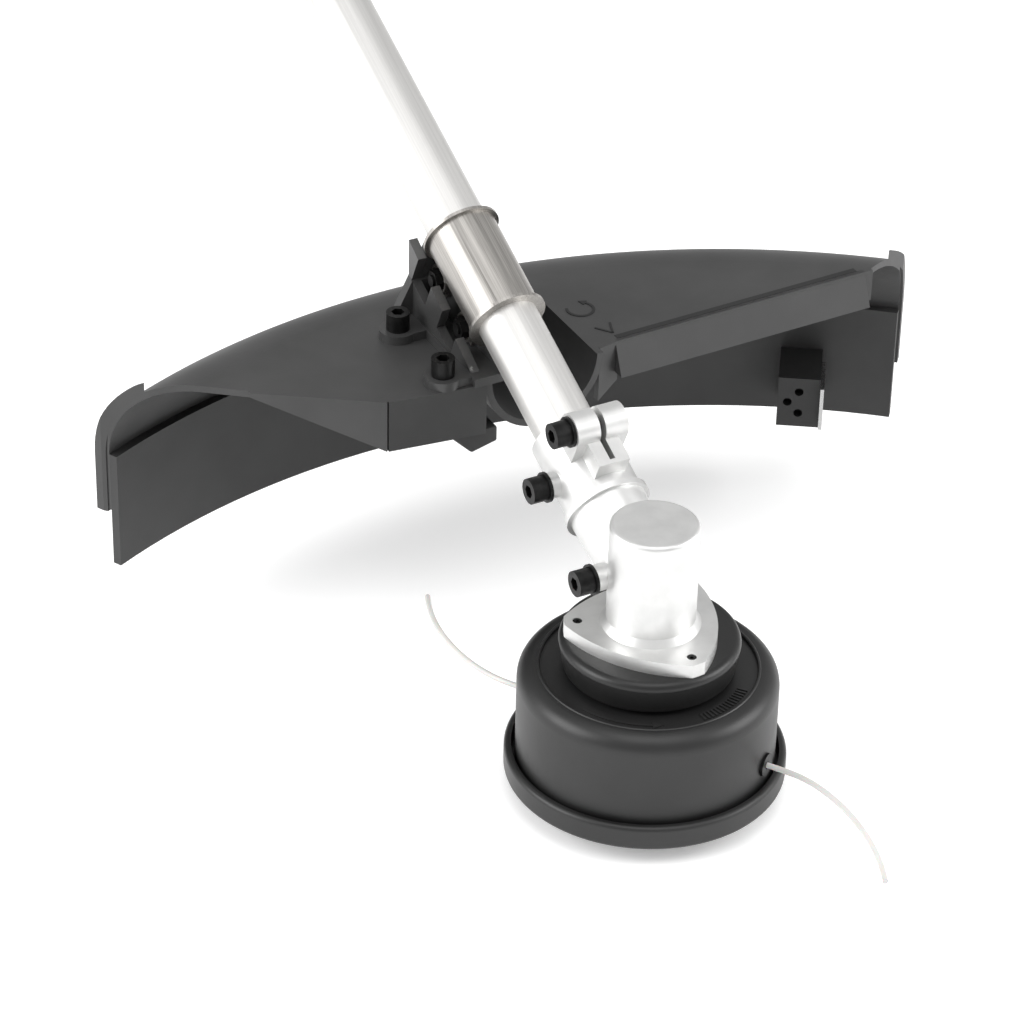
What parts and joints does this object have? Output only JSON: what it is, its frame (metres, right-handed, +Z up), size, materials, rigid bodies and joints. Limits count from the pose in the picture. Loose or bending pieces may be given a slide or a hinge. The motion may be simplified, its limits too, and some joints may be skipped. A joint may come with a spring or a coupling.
{
  "type": "string trimmer",
  "caption": "Cutting end of a string trimmer: bump-feed line head, bevel gear case, angled drive tube with a clamp bracket, and a curved plastic guard with a line cutter",
  "frame": {"origin": "middle of the bump knob's bottom face, on the spin axis of the head", "axes": "+Z is up along the head's spin axis; the drive tube leaves at 121 degrees from +X towards +Y and rises at 25 degrees"},
  "size_m": [0.4465, 0.6478, 0.4025],
  "materials": {
    "tube_metal": "brushed anodised, fine grain along the tube",
    "adaptor_plastic": "fine moulded texture",
    "bushing_plastic": "smooth acetal",
    "case_casting": "die-cast, lightly grained",
    "black_screws": "black oxide",
    "steel": "turned and ground",
    "seal_rubber": "soft nitrile",
    "cup_plastic": "fine texture",
    "guard_plastic": "moulded polypropylene, eggshell sheen",
    "skirt_plastic": "moulded polypropylene, fine texture",
    "bracket_casting": "black coat, worn bright at the edges",
    "clamp_steel": "brushed sheet steel",
    "head_plastic": "glass-filled nylon, fine texture",
    "spool_plastic": "smooth acetal",
    "line_nylon": "drawn nylon, slightly glossy"
  },
  "bodies": {
    "root": {"outer_tube": "tube_metal", "coupling_sleeve": "adaptor_plastic", "shaft_bushings": "bushing_plastic", "gear_case": "case_casting", "pinch_bolt": "black_screws", "locating_screw": "black_screws", "grease_plug": "black_screws", "screw_washers": "black_screws", "pinion_bearing": "steel", "pinion_circlip": "steel", "upper_bearing": "steel", "lower_bearing": "steel", "spindle_seal": "seal_rubber", "dust_cup": "cup_plastic", "flange_screws": "black_screws", "guard_shell": "guard_plastic", "guard_extension": "skirt_plastic", "cutter_block": "skirt_plastic", "line_cutter_blade": "steel", "cutter_screws": "black_screws", "guard_bracket": "bracket_casting", "tube_clamp": "clamp_steel", "bracket_screws": "black_screws", "clamp_bolts": "black_screws", "clamp_nuts": "black_screws"},
    "drive": {"drive_shaft": "steel", "input_pinion": "steel"},
    "head": {"output_spindle": "steel", "output_gear": "steel", "head_nut": "steel", "head_housing": "head_plastic", "base_cover": "head_plastic", "line_eyelets": "steel", "knob_spring": "steel", "line_end_a": "line_nylon", "line_end_b": "line_nylon"},
    "knob": {"bump_knob": "head_plastic", "knob_screw": "steel"},
    "reel": {"spool": "spool_plastic", "wound_line": "line_nylon"}
  },
  "joints": [
    {"name": "head_spin", "type": "hinge", "parent": "root", "child": "head", "pos_m": [0, 0, 0.094], "axis": [0, 0, 1], "continuous": true},
    {"name": "drive_shaft_spin", "type": "hinge", "parent": "root", "child": "drive", "pos_m": [0, 0, 0.094], "axis": [-0.4668, 0.7769, 0.4226], "continuous": true},
    {"name": "bump_press", "type": "slide", "parent": "head", "child": "knob", "axis": [0, 0, 1], "range_m": [0, 0.005], "stiffness_N_per_m": 2000, "springref_m": -0.003, "deforming": ["knob_spring"]},
    {"name": "spool_feed", "type": "hinge", "parent": "knob", "child": "reel", "pos_m": [0, 0, 0.028], "axis": [0, 0, 1], "continuous": true}
  ],
  "couplings": [
    {"joint": "drive_shaft_spin", "follows": "head_spin", "ratio": -1.3333}
  ]
}
